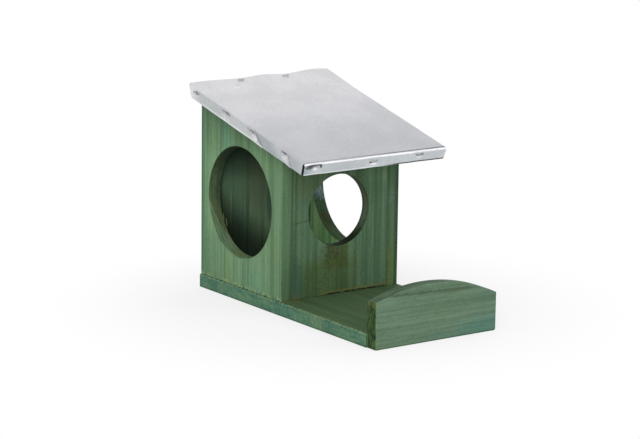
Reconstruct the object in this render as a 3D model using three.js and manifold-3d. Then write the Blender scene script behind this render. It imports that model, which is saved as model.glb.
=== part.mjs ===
// A wooden squirrel feeder box: a base board with an arched lip at its front end, a box with
// three round holes, and a sloping board roof under a folded sheet that staples hold.
// Millimetres, +Z up. The origin is under the middle of the base, on the ground. The feeder's
// front, with the lip, looks along -Y, and its back is at +Y.
import * as THREE from 'three';
import { mergeVertices } from 'three/addons/utils/BufferGeometryUtils.js';
import Module from 'manifold-3d';

const wasm = await Module();
wasm.setup();

// Overall sizes
const feederLength = 250;
const feederHeight = 177.8;
const baseWidth = 120;

// Boards
const baseThickness = 11.3;
const lipThickness = 11.4;
const sideThickness = 11;
const frontThickness = 8.8;
const rearThickness = 9;
const roofBoardThickness = 9;

// Clearances: along the glued butt joints, on the slope, and round a driven fastener
const glueLine = 0.1;
const seatGap = 0.3;
const fastenerClearance = 0.3;
const cutOverrun = 2;

// Box: boxDepth runs from its rear face to its front face. A hole's centre is a share of the
// box's depth from the rear, and a share of the panel's height there.
const boxDepth = 120;
const sideInset = 1.2;
const sideHoleDiameter = 93;
const sideHoleDepthShare = 0.4875;
const sideHoleHeightShare = 0.5136;
const frontHoleDiameter = 59.4;
const frontHoleOffset = -2;
const frontHoleHeightShare = 0.566;
const holeSegments = 64;

// Lip: its crown stands left of the middle, so its right end comes out lower
const lipLeftHeight = 37.5;
const lipCrownHeight = 46.9;
const lipCrownShare = 0.44;
const lipCornerRadius = 1.8;
const lipArcSegments = 28;

// Roof: it reaches past the base on both sides
const roofSlope = THREE.MathUtils.degToRad(13.8);
const roofOverhang = 11.1;
const roofLength = 173;

// Folded sheet
const sheetThickness = 0.5;
const foldInnerRadius = 1.2;
const flangeStandOff = 1;
const sideFlangeRearHeight = 10.9;
const sideFlangeFrontHeight = 10;
const frontFlangeHeight = 10;
const frontFlangeReach = 1.4;
const frontFlangeRightTaper = 1.8;
const rearSnip = 3.8;
const rearSnipFade = 22;
const rearLift = 2;
const rearLiftFade = 42;
const foldSteps = 3;
const flangeShares = [0.12, 0.5, 0.8, 1];
const columnSpacing = 12;
const rowSpacing = 16;
const leastSpacing = 1;

// Bulges of the sheet's rear edge: their places and reaches are shares of half the roof's width,
// and their heights are shares of rearLift
const rearBulgeShares = [
  { at: -0.76, height: 0.25, reach: 0.38 },
  { at: 0.04, height: 0.65, reach: 0.32 },
  { at: 0.78, height: 1, reach: 0.44 },
];

// Staples: the crown lies along the edge that it holds
const stapleCrown = 6;
const stapleWireWidth = 1.2;
const stapleWireThickness = 1;
const sideStapleLeg = 12;
const rearStapleLeg = 7;
const rearStapleFromEdge = 4.8;
const dentDepth = 0.6;
const dentFlat = 4;
const dentReach = 7.5;

// Places of the staples: shares of the roof's length from the rear edge, and of half its width.
// They were driven in by hand, so each one has its own drop below the sheet's top face.
const sideStapleShares = [0.067, 0.336, 0.555, 0.833];
const frontStapleShares = [-0.826, -0.028, 0.626];
const rearStapleShares = [-0.315, 0.326];
const sideStapleDrops = [4.5, 3.4, 4, 3];
const frontStapleDrops = [3.2, 5.4, 4.2];

// Creases that run down and forwards over the left flange in front of its last staples
const creaseTopFromStaple = 5.2;
const creaseBottomsFromStaple = [18.5, 12.2];
const creaseHeight = 0.7;
const creaseStep = 1.2;
const creaseFade = 25;
const creaseFullShare = 0.6;

// Brads
const bradDiameter = 1.4;
const bradHeadDiameter = 2.6;
const bradHeadThickness = 0.7;
const bradPointLength = 2.2;
const bradSink = 0.3;
const baseBradLength = 30;
const roofBradLength = 25;
const bradFromEnd = 24;
const panelBradShare = 0.57;
const roofBradFromEnd = 28;
const bradSides = 10;

// Finishes
const woodColour = 0x62805f;
const galvanisedColour = 0xc9cacd;
const wireColour = 0xb4b6b8;

// Worked out from the sizes above
const rearFaceY = feederLength / 2;
const baseLength = feederLength - lipThickness - glueLine;
const boxFrontY = rearFaceY - boxDepth;
const panelFootZ = baseThickness + glueLine;
const sideOuterX = baseWidth / 2 - sideInset;
const sideInnerX = sideOuterX - sideThickness;
const lipCrownFromLeft = lipCrownShare * baseWidth;
const roofWidth = baseWidth + 2 * roofOverhang;
const roofRearZ = feederHeight - rearLift * Math.cos(roofSlope);
const boardTopDrop = sheetThickness + seatGap;
const boardUnderDrop = boardTopDrop + roofBoardThickness;
const foldOuterRadius = foldInnerRadius + sheetThickness;
const flangeRoom = sheetThickness + flangeStandOff;
const sideStaplePlaces = sideStapleShares.map((share) => share * roofLength);
const frontStaplePlaces = frontStapleShares.map((share) => share * roofWidth / 2);
const rearStaplePlaces = rearStapleShares.map((share) => share * roofWidth / 2);
const creases = creaseBottomsFromStaple.map((bottom, index) => {
  const staple = sideStaplePlaces[sideStaplePlaces.length - creaseBottomsFromStaple.length + index];
  return { start: staple + dentFlat, top: staple + creaseTopFromStaple, bottom: staple + bottom };
});

const shapeToSide = new THREE.Matrix4().makeBasis(
  new THREE.Vector3(0, 1, 0),
  new THREE.Vector3(0, 0, 1),
  new THREE.Vector3(1, 0, 0),
);
const shapeToFront = new THREE.Matrix4().makeBasis(
  new THREE.Vector3(1, 0, 0),
  new THREE.Vector3(0, 0, 1),
  new THREE.Vector3(0, -1, 0),
);
const roofPlace = new THREE.Matrix4()
  .makeRotationX(roofSlope)
  .setPosition(0, rearFaceY, roofRearZ);

function finish(colour, roughness, metalness) {
  return new THREE.MeshStandardMaterial({ color: colour, roughness, metalness });
}

const finishes = {
  wood: () => finish(woodColour, 0.8, 0),
  galvanised: () => finish(galvanisedColour, 0.45, 0.9),
  wire: () => finish(wireColour, 0.4, 0.9),
};

// Makes a closed geometry into a solid that can be joined and cut.
function solidOf(geometry) {
  const bare = geometry.clone();
  bare.deleteAttribute('normal');
  bare.deleteAttribute('uv');
  const merged = mergeVertices(bare);
  const corners = merged.index.array;
  const triangles = [];
  for (let i = 0; i < corners.length; i += 3) {
    const [a, b, c] = corners.slice(i, i + 3);
    if (a !== b && b !== c && c !== a) {
      triangles.push(a, b, c);
    }
  }
  return new wasm.Manifold(new wasm.Mesh({
    numProp: 3,
    vertProperties: new Float32Array(merged.attributes.position.array),
    triVerts: new Uint32Array(triangles),
  }));
}

function geometryOf(solid) {
  const mesh = solid.getMesh();
  const geometry = new THREE.BufferGeometry();
  geometry.setAttribute('position', new THREE.BufferAttribute(new Float32Array(mesh.vertProperties), 3));
  geometry.setIndex(new THREE.BufferAttribute(new Uint32Array(mesh.triVerts), 1));
  geometry.computeVertexNormals();
  return geometry;
}

function cut(geometry, cutters) {
  let solid = solidOf(geometry);
  for (const cutter of cutters) {
    solid = solid.subtract(solidOf(cutter));
  }
  return geometryOf(solid);
}

function named(name, geometry, material) {
  const mesh = new THREE.Mesh(geometry, material);
  mesh.name = name;
  return mesh;
}

function outline(points) {
  return new THREE.Shape(points.map(([across, up]) => new THREE.Vector2(across, up)));
}

function slab(shape, thickness, curveSegments = holeSegments) {
  return new THREE.ExtrudeGeometry(shape, { depth: thickness, bevelEnabled: false, curveSegments });
}

// Height of a plane that lies a given depth under the sheet's top face, at a place along Y.
function underRoof(y, drop) {
  return roofRearZ - (rearFaceY - y) * Math.tan(roofSlope) - drop / Math.cos(roofSlope);
}

function panelTop(y) {
  return underRoof(y, boardUnderDrop + seatGap);
}

// Where a plumb line through the roof's rear edge lies, in the roof's own frame, a depth under
// the sheet's top face.
function plumbRear(drop) {
  return -drop * Math.tan(roofSlope);
}

function holeHeight(y, share) {
  return THREE.MathUtils.lerp(panelFootZ, panelTop(y), share);
}

// Brads

// A brad stands on its head at the origin and points along +Z.
function bradGeometry(length) {
  const shank = bradDiameter / 2;
  const head = bradHeadDiameter / 2;
  const profile = [
    [0, 0],
    [head, 0],
    [head, bradHeadThickness],
    [shank, bradHeadThickness],
    [shank, length - bradPointLength],
    [0, length],
  ];
  return new THREE.LatheGeometry(profile.map(([r, z]) => new THREE.Vector2(r, z)), bradSides)
    .rotateX(Math.PI / 2);
}

// The room that a brad needs in the boards: a bore with a wider pocket for the head.
function bradRoom(length) {
  const bore = bradDiameter / 2 + fastenerClearance;
  const pocket = bradHeadDiameter / 2 + fastenerClearance;
  const pocketDepth = bradHeadThickness + fastenerClearance;
  const end = length + fastenerClearance;
  const profile = [
    [0, -cutOverrun],
    [pocket, -cutOverrun],
    [pocket, pocketDepth],
    [bore, pocketDepth],
    [bore, end],
    [0, end],
  ];
  return new THREE.LatheGeometry(profile.map(([r, z]) => new THREE.Vector2(r, z)), bradSides)
    .rotateX(Math.PI / 2);
}

function baseBradPlaces() {
  const sideMiddle = sideOuterX - sideThickness / 2;
  const frontMiddle = boxFrontY + frontThickness / 2;
  const rearMiddle = rearFaceY - rearThickness / 2;
  const panelBradX = panelBradShare * sideInnerX;
  const places = [];
  for (const [side, sign] of [['left', -1], ['right', 1]]) {
    places.push({ name: `${side}_side_rear_brad`, x: sign * sideMiddle, y: rearFaceY - bradFromEnd });
    places.push({ name: `${side}_side_front_brad`, x: sign * sideMiddle, y: boxFrontY + bradFromEnd });
    places.push({ name: `front_panel_${side}_brad`, x: sign * panelBradX, y: frontMiddle });
    places.push({ name: `rear_panel_${side}_brad`, x: sign * panelBradX, y: rearMiddle });
  }
  return places;
}

function baseBradRooms() {
  return baseBradPlaces().map(({ x, y }) => bradRoom(baseBradLength).translate(x, y, bradSink));
}

// Roof brads are placed in the roof's own frame, with their heads under the sheet.
function roofBradPlaces() {
  const sideMiddle = sideOuterX - sideThickness / 2;
  const boxLengthOnSlope = boxDepth / Math.cos(roofSlope);
  const places = [];
  for (const [side, sign] of [['left', -1], ['right', 1]]) {
    places.push({ name: `roof_${side}_rear_brad`, x: sign * sideMiddle, y: -roofBradFromEnd });
    places.push({
      name: `roof_${side}_front_brad`,
      x: sign * sideMiddle,
      y: roofBradFromEnd - boxLengthOnSlope,
    });
  }
  return places;
}

function hangFromRoof(geometry, { x, y }) {
  return geometry.rotateX(Math.PI).translate(x, y, -boardTopDrop);
}

function roofBradRooms() {
  return roofBradPlaces().map((place) => hangFromRoof(bradRoom(roofBradLength), place));
}

// Staples

// A staple's outline is a bridge with two pointed legs. Its crown lies along +X with its inner
// face at the origin, and its legs point along -Z.
function stapleGeometry(legLength) {
  const half = stapleCrown / 2;
  const inner = half - stapleWireWidth;
  const middle = half - stapleWireWidth / 2;
  const pointLength = stapleWireWidth;
  const shape = outline([
    [-half, stapleWireThickness],
    [-half, pointLength - legLength],
    [-middle, -legLength],
    [-inner, pointLength - legLength],
    [-inner, 0],
    [inner, 0],
    [inner, pointLength - legLength],
    [middle, -legLength],
    [half, pointLength - legLength],
    [half, stapleWireThickness],
  ]);
  return slab(shape, stapleWireThickness)
    .translate(0, 0, -stapleWireThickness / 2)
    .rotateX(Math.PI / 2);
}

function stapleRooms(legLength) {
  const width = stapleWireWidth + 2 * fastenerClearance;
  const depth = stapleWireThickness + 2 * fastenerClearance;
  const bottom = -legLength - fastenerClearance;
  const top = cutOverrun;
  const middle = (stapleCrown - stapleWireWidth) / 2;
  return [-middle, middle].map((x) => new THREE.BoxGeometry(width, depth, top - bottom)
    .translate(x, 0, (top + bottom) / 2));
}

// Every staple: its name, leg length and the matrix that puts it on the sheet.
function staples() {
  const list = [];
  for (const [side, sign] of [['left', -1], ['right', 1]]) {
    const face = roofWidth / 2 - dentDepth + seatGap;
    const turn = new THREE.Matrix4().makeBasis(
      new THREE.Vector3(0, sign, 0),
      new THREE.Vector3(0, 0, 1),
      new THREE.Vector3(sign, 0, 0),
    );
    sideStaplePlaces.forEach((place, index) => {
      list.push({
        name: `${side}_staple_${index + 1}`,
        leg: sideStapleLeg,
        matrix: turn.clone().setPosition(sign * face, -place, -sideStapleDrops[index]),
      });
    });
  }
  frontStaplePlaces.forEach((x, index) => {
    const turn = new THREE.Matrix4().makeBasis(
      new THREE.Vector3(1, 0, 0),
      new THREE.Vector3(0, 0, 1),
      new THREE.Vector3(0, -1, 0),
    );
    list.push({
      name: `front_staple_${index + 1}`,
      leg: sideStapleLeg,
      matrix: turn.setPosition(x, dentDepth - seatGap - roofLength, -frontStapleDrops[index]),
    });
  });
  rearStaplePlaces.forEach((x, index) => {
    list.push({
      name: `rear_staple_${index + 1}`,
      leg: rearStapleLeg,
      matrix: new THREE.Matrix4().setPosition(x, -rearStapleFromEdge, seatGap),
    });
  });
  return list;
}

function allStapleRooms() {
  return staples().flatMap(({ leg, matrix }) => stapleRooms(leg).map((room) => room.applyMatrix4(matrix)));
}

// Folded sheet

function smooth(value) {
  const t = Math.min(1, Math.max(0, value));
  return t * t * (3 - 2 * t);
}

// Stations over one fold: round the bend and then down the flange. A station says how far it is
// past the flat's edge, how far down, how far its face leans, and its share of the flange.
function foldStations() {
  const stations = [];
  for (let step = 1; step <= foldSteps; step++) {
    const lean = (Math.PI / 2) * step / foldSteps;
    stations.push({
      past: foldOuterRadius * Math.sin(lean),
      down: foldOuterRadius * (1 - Math.cos(lean)),
      lean,
      share: 0,
    });
  }
  for (const share of flangeShares) {
    stations.push({ past: foldOuterRadius, down: foldOuterRadius, lean: Math.PI / 2, share });
  }
  return stations;
}

// Grid lines on the flat, from its start to its end: at the given places, where they stand clear
// of each other, with lines between them where they lie far apart.
function flatStops(start, end, places, spacing) {
  const stops = [start];
  const goTo = (stop) => {
    const last = stops[stops.length - 1];
    const parts = Math.ceil((stop - last) / spacing);
    for (let part = 1; part <= parts; part++) {
      stops.push(last + (stop - last) * part / parts);
    }
  };
  for (const place of [...places].sort((a, b) => a - b)) {
    if (place > stops[stops.length - 1] + leastSpacing && place < end - leastSpacing) {
      goTo(place);
    }
  }
  goTo(end);
  return stops;
}

function roundStaples(places) {
  const offsets = [-dentReach, -dentFlat, dentFlat, dentReach];
  return places.flatMap((place) => offsets.map((offset) => place + offset));
}

// Columns run across the sheet from the left flange's edge to the right one's. Rows run from the
// rear edge down the slope and over the front fold.
function sheetColumns() {
  const flatEdge = roofWidth / 2 - foldOuterRadius;
  const bulgePlaces = rearBulgeShares.map(({ at }) => at * roofWidth / 2);
  const places = [...roundStaples(frontStaplePlaces), ...rearStaplePlaces, ...bulgePlaces];
  const flat = flatStops(-flatEdge, flatEdge, places, columnSpacing)
    .map((x) => ({ x, down: 0, lean: 0, share: 0, side: 0, flat: true }));
  const over = (sign) => foldStations().map(({ past, down, lean, share }) => (
    { x: sign * (flatEdge + past), down, lean, share, side: sign, flat: false }
  ));
  return [...over(-1).reverse(), ...flat, ...over(1)];
}

function sheetRows() {
  const flatEnd = roofLength - foldOuterRadius;
  const creasePlaces = creases.flatMap(({ top }) => [top, top + creaseStep]);
  const places = [...roundStaples(sideStaplePlaces), ...creasePlaces, rearLiftFade / 2];
  const flat = flatStops(0, flatEnd, places, rowSpacing)
    .map((along) => ({ along, down: 0, lean: 0, share: 0, flat: true }));
  const over = foldStations().map(({ past, down, lean, share }) => (
    { along: flatEnd + past, down, lean, share, flat: false }
  ));
  return [...flat, ...over];
}

// How far the rear edge stands off the board: it bulges between and beside its staples.
function rearBulge(x, along) {
  const xShare = x / (roofWidth / 2);
  const rise = rearBulgeShares.reduce((sum, { at, height, reach }) => (
    sum + height * smooth(1 - Math.abs(xShare - at) / reach)
  ), 0);
  return rearLift * rise * smooth(1 - along / rearLiftFade);
}

// How far a staple has pressed the flange in at a distance from it along the edge.
function pressedIn(distance) {
  return dentDepth * smooth((dentReach - distance) / (dentReach - dentFlat));
}

function nearest(value, places) {
  return Math.min(...places.map((place) => Math.abs(value - place)));
}

// How far a row moves forwards on its way down the left flange, so that it follows a crease.
function creaseSkew(along) {
  return creases.reduce((sum, { start, top, bottom }) => {
    const foot = top + creaseStep;
    const end = Math.min(foot + creaseFade, roofLength - foldOuterRadius);
    const near = Math.min((along - start) / (top - start), (end - along) / (end - foot));
    return sum + (bottom - top) * THREE.MathUtils.clamp(near, 0, 1);
  }, 0);
}

// How far the left flange stands out: it rises from the staple to the crease and then steps back.
function creaseRise(along) {
  return creases.reduce((sum, { start, top }) => {
    const near = Math.min((along - start) / (top - start), (top + creaseStep - along) / creaseStep);
    return sum + creaseHeight * THREE.MathUtils.clamp(near, 0, 1);
  }, 0);
}

// A point of the sheet at a column and a row, a depth inside its outer face.
function sheetPoint(column, row, depth) {
  if (!row.flat) {
    const taper = column.x > 0 ? frontFlangeRightTaper * row.share : 0;
    const flatEdge = roofWidth / 2 - foldOuterRadius;
    const x = column.x * (flatEdge + frontFlangeReach * Math.sin(row.lean) - taper) / flatEdge;
    const drop = row.down + (frontFlangeHeight - foldOuterRadius) * row.share;
    const press = pressedIn(nearest(x, frontStaplePlaces)) * Math.sin(row.lean);
    return [
      x,
      press + depth * Math.sin(row.lean) - row.along,
      -drop - depth * Math.cos(row.lean),
    ];
  }
  const creased = column.side < 0 ? column.share : 0;
  const along = row.along + creaseSkew(row.along) * creased;
  const height = THREE.MathUtils.lerp(sideFlangeRearHeight, sideFlangeFrontHeight, along / roofLength);
  const drop = column.down + (height - foldOuterRadius) * column.share;
  const press = pressedIn(nearest(along, sideStaplePlaces)) * Math.sin(column.lean)
    - creaseRise(row.along) * smooth(creased / creaseFullShare);
  const below = drop + depth * Math.cos(column.lean);
  const fade = Math.max(0, 1 - along / rearSnipFade);
  return [
    column.x - column.side * (press + depth * Math.sin(column.lean)),
    (plumbRear(below) - rearSnip * column.share) * fade - along,
    rearBulge(column.x, row.along) - below,
  ];
}

// The blank is a grid of cells without its two front corners, so the folds leave them open.
function sheetGeometry() {
  const columns = sheetColumns();
  const rows = sheetRows();
  const positions = [];
  const used = (i, j) => i >= 0 && j >= 0 && i < columns.length - 1 && j < rows.length - 1
    && ((rows[j].flat && rows[j + 1].flat) || (columns[i].flat && columns[i + 1].flat));
  const quad = (a, b, c, d) => positions.push(...a, ...b, ...c, ...a, ...c, ...d);
  const cellCorners = [[0, 0], [0, 1], [1, 1], [1, 0]];
  for (let i = 0; i < columns.length - 1; i++) {
    for (let j = 0; j < rows.length - 1; j++) {
      if (used(i, j)) {
        const face = (depth) => cellCorners.map(([di, dj]) => (
          sheetPoint(columns[i + di], rows[j + dj], depth)
        ));
        const outer = face(0);
        const inner = face(sheetThickness);
        quad(...outer);
        quad(...[...inner].reverse());
        const neighbours = [[i - 1, j], [i, j + 1], [i + 1, j], [i, j - 1]];
        neighbours.forEach(([ni, nj], edge) => {
          const next = (edge + 1) % cellCorners.length;
          if (!used(ni, nj)) {
            quad(outer[edge], inner[edge], inner[next], outer[next]);
          }
        });
      }
    }
  }
  const geometry = new THREE.BufferGeometry();
  geometry.setAttribute('position', new THREE.BufferAttribute(new Float32Array(positions), 3));
  return geometry;
}

function roofSheet() {
  return named('roof_sheet', cut(sheetGeometry(), allStapleRooms()), finishes.galvanised());
}

// Boards

function baseBoard() {
  const half = baseWidth / 2;
  const front = rearFaceY - baseLength;
  const shape = outline([[-half, front], [half, front], [half, rearFaceY], [-half, rearFaceY]]);
  return named('base_board', cut(slab(shape, baseThickness), baseBradRooms()), finishes.wood());
}

function lipBoard() {
  const half = baseWidth / 2;
  const crownX = lipCrownFromLeft - half;
  const leftRise = lipCrownHeight - lipLeftHeight;
  const radius = (lipCrownFromLeft ** 2 + leftRise ** 2) / (2 * leftRise);
  const centreZ = lipCrownHeight - radius;
  const rightAngle = Math.acos((half - crownX) / radius);
  const leftAngle = Math.acos(-lipCrownFromLeft / radius);
  const cornerX = half - lipCornerRadius;
  const shape = new THREE.Shape();
  shape.absarc(-cornerX, lipCornerRadius, lipCornerRadius, Math.PI, 1.5 * Math.PI, false);
  shape.absarc(cornerX, lipCornerRadius, lipCornerRadius, 1.5 * Math.PI, 2 * Math.PI, false);
  shape.absarc(crownX, centreZ, radius, rightAngle, leftAngle, false);
  const board = slab(shape, lipThickness, lipArcSegments).applyMatrix4(shapeToFront);
  const mesh = named('lip_board', board, finishes.wood());
  mesh.position.y = lipThickness - rearFaceY;
  return mesh;
}

function sidePanel(name, sign) {
  const shape = outline([
    [boxFrontY, panelFootZ],
    [rearFaceY, panelFootZ],
    [rearFaceY, panelTop(rearFaceY)],
    [boxFrontY, panelTop(boxFrontY)],
  ]);
  const hole = new THREE.Path();
  const holeY = rearFaceY - boxDepth * sideHoleDepthShare;
  hole.absarc(holeY, holeHeight(holeY, sideHoleHeightShare), sideHoleDiameter / 2, 0, 2 * Math.PI, true);
  shape.holes.push(hole);
  const innerX = sign > 0 ? sideInnerX : -sideOuterX;
  const board = slab(shape, sideThickness).applyMatrix4(shapeToSide).translate(innerX, 0, 0);
  const roofRooms = roofBradRooms().map((room) => room.applyMatrix4(roofPlace));
  return named(name, cut(board, [...baseBradRooms(), ...roofRooms]), finishes.wood());
}

// A panel that stands between the side panels, with its top cut to the slope.
function crossPanel(frontY, thickness) {
  const rearY = frontY + thickness;
  const shape = outline([
    [frontY, panelFootZ],
    [rearY, panelFootZ],
    [rearY, panelTop(rearY)],
    [frontY, panelTop(frontY)],
  ]);
  const width = 2 * (sideInnerX - glueLine);
  return slab(shape, width).applyMatrix4(shapeToSide).translate(-width / 2, 0, 0);
}

function frontPanel() {
  const hole = new THREE.CylinderGeometry(
    frontHoleDiameter / 2,
    frontHoleDiameter / 2,
    frontThickness + 2 * cutOverrun,
    holeSegments,
  ).translate(
    frontHoleOffset,
    boxFrontY + frontThickness / 2,
    holeHeight(boxFrontY, frontHoleHeightShare),
  );
  const board = crossPanel(boxFrontY, frontThickness);
  return named('front_panel', cut(board, [hole, ...baseBradRooms()]), finishes.wood());
}

function rearPanel() {
  const board = crossPanel(rearFaceY - rearThickness, rearThickness);
  return named('rear_panel', cut(board, baseBradRooms()), finishes.wood());
}

// The roof board has a square front end and a rear end that is cut plumb.
function roofBoard() {
  const width = roofWidth - 2 * flangeRoom;
  const frontY = flangeRoom - roofLength;
  const shape = outline([
    [frontY, -boardUnderDrop],
    [plumbRear(boardUnderDrop), -boardUnderDrop],
    [plumbRear(boardTopDrop), -boardTopDrop],
    [frontY, -boardTopDrop],
  ]);
  const board = slab(shape, width).applyMatrix4(shapeToSide).translate(-width / 2, 0, 0);
  return named('roof_board', cut(board, [...roofBradRooms(), ...allStapleRooms()]), finishes.wood());
}

function baseBrads() {
  return baseBradPlaces().map(({ name, x, y }) => {
    const brad = named(name, bradGeometry(baseBradLength), finishes.wire());
    brad.position.set(x, y, bradSink);
    return brad;
  });
}

function roofBrads() {
  return roofBradPlaces().map((place) => (
    named(place.name, hangFromRoof(bradGeometry(roofBradLength), place), finishes.wire())
  ));
}

function roofStaples() {
  return staples().map(({ name, leg, matrix }) => (
    named(name, stapleGeometry(leg).applyMatrix4(matrix), finishes.wire())
  ));
}

const feeder = new THREE.Group();
feeder.add(
  baseBoard(),
  lipBoard(),
  sidePanel('left_side_panel', -1),
  sidePanel('right_side_panel', 1),
  frontPanel(),
  rearPanel(),
  ...baseBrads(),
);

const roof = new THREE.Group();
roof.position.set(0, rearFaceY, roofRearZ);
roof.rotation.x = roofSlope;
roof.add(roofBoard(), roofSheet(), ...roofBrads(), ...roofStaples());
feeder.add(roof);

export default feeder;
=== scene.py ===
import math

import bmesh
import bpy
from mathutils import Matrix, Vector
from mathutils.geometry import tessellate_polygon


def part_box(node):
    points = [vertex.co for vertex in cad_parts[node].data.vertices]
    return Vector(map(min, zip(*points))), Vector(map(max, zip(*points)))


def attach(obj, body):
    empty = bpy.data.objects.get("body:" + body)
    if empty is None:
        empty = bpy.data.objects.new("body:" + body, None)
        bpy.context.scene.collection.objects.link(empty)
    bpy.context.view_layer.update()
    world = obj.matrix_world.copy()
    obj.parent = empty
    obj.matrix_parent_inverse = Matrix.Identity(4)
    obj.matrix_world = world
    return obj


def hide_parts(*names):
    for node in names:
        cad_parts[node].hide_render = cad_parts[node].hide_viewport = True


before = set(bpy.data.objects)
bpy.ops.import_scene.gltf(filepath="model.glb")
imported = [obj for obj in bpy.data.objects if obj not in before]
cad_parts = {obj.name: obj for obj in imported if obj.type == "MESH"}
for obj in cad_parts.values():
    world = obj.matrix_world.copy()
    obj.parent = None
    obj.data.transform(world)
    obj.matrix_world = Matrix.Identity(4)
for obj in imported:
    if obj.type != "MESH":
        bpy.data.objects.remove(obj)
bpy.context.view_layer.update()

MM = 0.001

# Boards, in millimetres
BASE_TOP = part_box("base_board")[1].z / MM
LIP_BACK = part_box("lip_board")[1].y / MM
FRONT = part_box("lip_board")[0].y / MM
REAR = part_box("rear_panel")[1].y / MM
BASE_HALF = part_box("base_board")[1].x / MM
SIDE_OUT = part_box("right_side_panel")[1].x / MM
SIDE_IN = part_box("right_side_panel")[0].x / MM
PANEL_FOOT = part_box("front_panel")[0].z / MM
BOX_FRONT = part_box("front_panel")[0].y / MM
CROSS_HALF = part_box("front_panel")[1].x / MM
FRONT_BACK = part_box("front_panel")[1].y / MM
REAR_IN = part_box("rear_panel")[0].y / MM
EDGE = 0.45
LIP_EDGE = 0.8
EDGE_STEPS = 3
LEAST_REACH = 0.4
SHARP_ANGLE = math.radians(24)

# Round holes, in millimetres: centre along the board, centre height and radius
SIDE_HOLE = (66.5, 83.1, 46.5)
FRONT_HOLE = (-2.0, 81.9, 29.7)
HOLE_POINTS = 160

# Lip's arch, in millimetres
LIP_LEFT = 37.5
LIP_CROWN = 46.9
LIP_CROWN_X = -7.2
LIP_POINTS = 72
LIP_FOOT_RADIUS = 1.8
LIP_FOOT_STEPS = 4

# Front panel's ragged foot, in millimetres
FOOT_STEPS = 36
FOOT_START = -22.0
FOOT_FADE = 6.0

# Roof, in millimetres and in its own frame: down the slope is -Y and its normal is +Z
SLOPE = math.radians(13.8)
ROOF_WIDTH = 142.2
ROOF_LENGTH = 173.0
SHEET = 0.5
FOLD_RADIUS = 1.7
FLAT_HALF = ROOF_WIDTH / 2 - FOLD_RADIUS
FLAT_END = ROOF_LENGTH - FOLD_RADIUS
SIDE_FLANGE_REAR = 10.9
SIDE_FLANGE_FRONT = 10.0
FRONT_FLANGE = 10.0
FRONT_FLANGE_REACH = 1.4
FRONT_FLANGE_TAPER = 1.8
REAR_SNIP = 3.8
REAR_SNIP_FADE = 22.0
REAR_LIFT = 2.0
REAR_LIFT_FADE = 42.0
ROOF_TOP = 177.8
ROOF_REAR_Z = ROOF_TOP - REAR_LIFT * math.cos(SLOPE)
BOARD_DROP = 0.8
BOARD_THICKNESS = 9.0
PANEL_GAP = 0.3
SHEET_STEP = 1.5
FOLD_STEPS = 6
FLANGE_STEPS = 9
ROW_SPACE = 0.4

# Bulges of the roof's rear edge: place in half widths of the roof, share of the lift, and reach in
# half widths
BULGES = ((-0.76, 0.25, 0.38), (0.04, 0.65, 0.32), (0.78, 1.0, 0.44))

# Staples: their places along the roof's edges, and each one's drop below its top face
SIDE_STAPLES = tuple(share * ROOF_LENGTH for share in (0.067, 0.336, 0.555, 0.833))
FRONT_STAPLES = tuple(share * ROOF_WIDTH / 2 for share in (-0.826, -0.028, 0.626))
SIDE_DROPS = (4.5, 3.4, 4.0, 3.0)
FRONT_DROPS = (3.2, 5.4, 4.2)
DENT = 0.6
DENT_FLAT = 4.0
DENT_REACH = 7.5
DENT_LEAST = 0.35
DENT_FADE = 6.0

# Creases in front of the left flange's last two staples, in millimetres from the staple: the top of
# both, then each one's staple and its foot
CREASE_TOP = 5.2
CREASE_FEET = ((2, 18.5), (3, 12.2))

# Where each crease's rise starts, and the places of its top and its foot
CREASES = tuple((SIDE_STAPLES[at] + DENT_FLAT, SIDE_STAPLES[at] + CREASE_TOP, SIDE_STAPLES[at] + bottom)
                for at, bottom in CREASE_FEET)
CREASE_HEIGHT = 0.7
CREASE_STEP = 1.2
CREASE_FADE = 25.0
CREASE_FULL = 0.6

# Rounding of the pieces that keep the frame's own shape, in millimetres
BOARD_ROUNDING = 0.4
WIRE_ROUNDING = 0.2
ROUNDING_SEGMENTS = 2

# Where the lamps point, in metres
LAMP_AIM = (0, 0, 0.09)

# Camera, fitted to the photograph's corners
CAMERA_PLACE = (-1221.89, -1679.74, 523.14)
CAMERA_YAW = math.radians(35.48)
CAMERA_PITCH = math.radians(12.20)
CAMERA_ROLL = math.radians(0.756)
CAMERA_LENS = 146.05
CAMERA_SENSOR = 36.0


def clamped(value):
    return min(1.0, max(0.0, value))


def smooth(value):
    t = clamped(value)
    return t * t * (3 - 2 * t)


# Shader sums

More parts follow.
